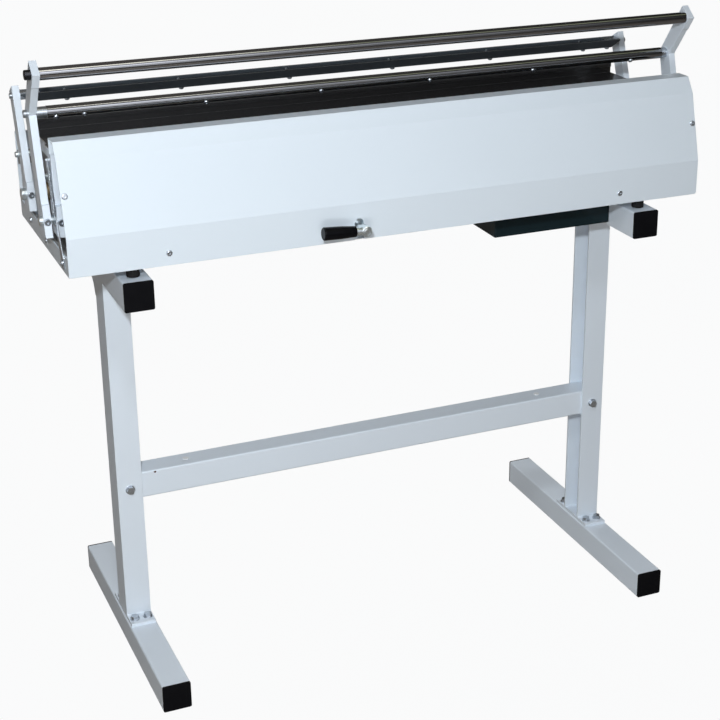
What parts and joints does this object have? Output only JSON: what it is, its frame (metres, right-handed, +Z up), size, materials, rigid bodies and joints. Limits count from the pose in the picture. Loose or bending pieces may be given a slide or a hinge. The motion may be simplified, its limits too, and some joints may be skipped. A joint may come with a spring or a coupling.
{
  "type": "paper folding machine",
  "caption": "Wide manual plan folding machine on a two-leg stand, with a swinging handle frame, a rear folding bar, a sprung clamp bar, a cam lever and a small tray.",
  "frame": {"origin": "on the floor, midway between the two feet and midway along them", "axes": "+X to the right along the machine as its user sees it, +Y from the user to the back, +Z up"},
  "size_m": [1.2115, 0.546, 1.103],
  "materials": {
    "stand_paint": "light blue-grey powder coat, fine grain",
    "cover_paint": "pale blue-white powder coat, satin",
    "frame_paint": "grey paint, satin, in shade",
    "arm_paint": "pale blue-white powder coat, satin",
    "black_plastic": "black moulded plastic",
    "pale_plastic": "off-white moulded plastic",
    "rubber": "black rubber, matt",
    "black_chrome": "dark polished bar",
    "black_paint": "black paint, glossy",
    "zinc": "zinc plated steel",
    "black_steel": "blackened steel",
    "bright_steel": "turned bare steel",
    "bronze": "sintered bronze, dull",
    "grip_plastic": "black moulded grip, glossy",
    "tray_paint": "dark teal-black paint, glossy"
  },
  "bodies": {
    "stand": {"arm_stop_pins": "bright_steel", "base_pan": "cover_paint", "base_plate_bolts": "zinc", "beam_end_caps": "black_plastic", "bed_plate": "black_paint", "bed_rails": "cover_paint", "cover_screws": "zinc", "cover_upper_screws": "zinc", "cross_bar": "stand_paint", "cross_bar_bolts": "zinc", "cross_bar_plugs": "pale_plastic", "end_screws": "zinc", "foot_end_caps": "black_plastic", "front_cover": "cover_paint", "left_foot_tube": "stand_paint", "left_post": "stand_paint", "left_side_frame": "frame_paint", "left_spring": "zinc", "left_top_beam": "stand_paint", "lever_bearing": "bright_steel", "machine_feet": "rubber", "pivot_bushings": "bronze", "rail_screws": "zinc", "rear_cover": "cover_paint", "right_foot_tube": "stand_paint", "right_post": "stand_paint", "right_side_frame": "frame_paint", "right_spring": "zinc", "right_top_beam": "stand_paint", "spring_anchors": "zinc", "under_tray": "tray_paint"},
    "front_frame": {"front_pivot_shaft": "bright_steel", "left_front_arm": "arm_paint", "right_front_arm": "arm_paint", "front_arm_screws": "zinc", "handle_bar": "black_chrome", "handle_bar_bolts": "black_steel", "front_fold_bar": "black_chrome", "fold_bar_screws": "zinc", "fold_bar_spacers": "zinc", "fold_bar_bolts": "zinc"},
    "rear_frame": {"rear_pivot_shaft": "bright_steel", "left_rear_arm": "arm_paint", "right_rear_arm": "arm_paint", "rear_arm_screws": "zinc", "rear_folding_channel": "black_paint", "channel_screws": "zinc", "channel_end_blocks": "zinc", "channel_end_bolts": "zinc"},
    "clamp_frame": {"clamp_tube": "bright_steel", "left_clamp_arm": "arm_paint", "right_clamp_arm": "arm_paint", "clamp_arm_screws": "zinc", "clamp_bar": "black_paint", "clamp_strip": "rubber", "clamp_follower": "bright_steel"},
    "lever": {"lever_shaft": "bright_steel", "lever_hub": "bright_steel", "lever_grip": "grip_plastic", "lever_cam": "bright_steel"}
  },
  "joints": [
    {"name": "front_frame_swing", "type": "hinge", "parent": "stand", "child": "front_frame", "pos_m": [0, -0.092, 0.845], "axis": [1, 0, 0], "range_deg": [0, 75]},
    {"name": "rear_frame_swing", "type": "hinge", "parent": "stand", "child": "rear_frame", "pos_m": [0, 0.071, 0.845], "axis": [1, 0, 0], "range_deg": [0, 42]},
    {"name": "clamp_swing", "type": "hinge", "parent": "stand", "child": "clamp_frame", "pos_m": [0, -0.092, 0.845], "axis": [1, 0, 0], "range_deg": [-6, 0], "stiffness_Nm_per_rad": 8, "springref_deg": 11.46, "deforming": ["left_spring", "right_spring"]},
    {"name": "lever_turn", "type": "hinge", "parent": "stand", "child": "lever", "pos_m": [-0.0885, -0.17, 0.798], "axis": [0, 1, 0], "range_deg": [0, 90]}
  ],
  "couplings": [
    {"joint": "lever_turn", "follows": "clamp_swing", "ratio": -15}
  ]
}
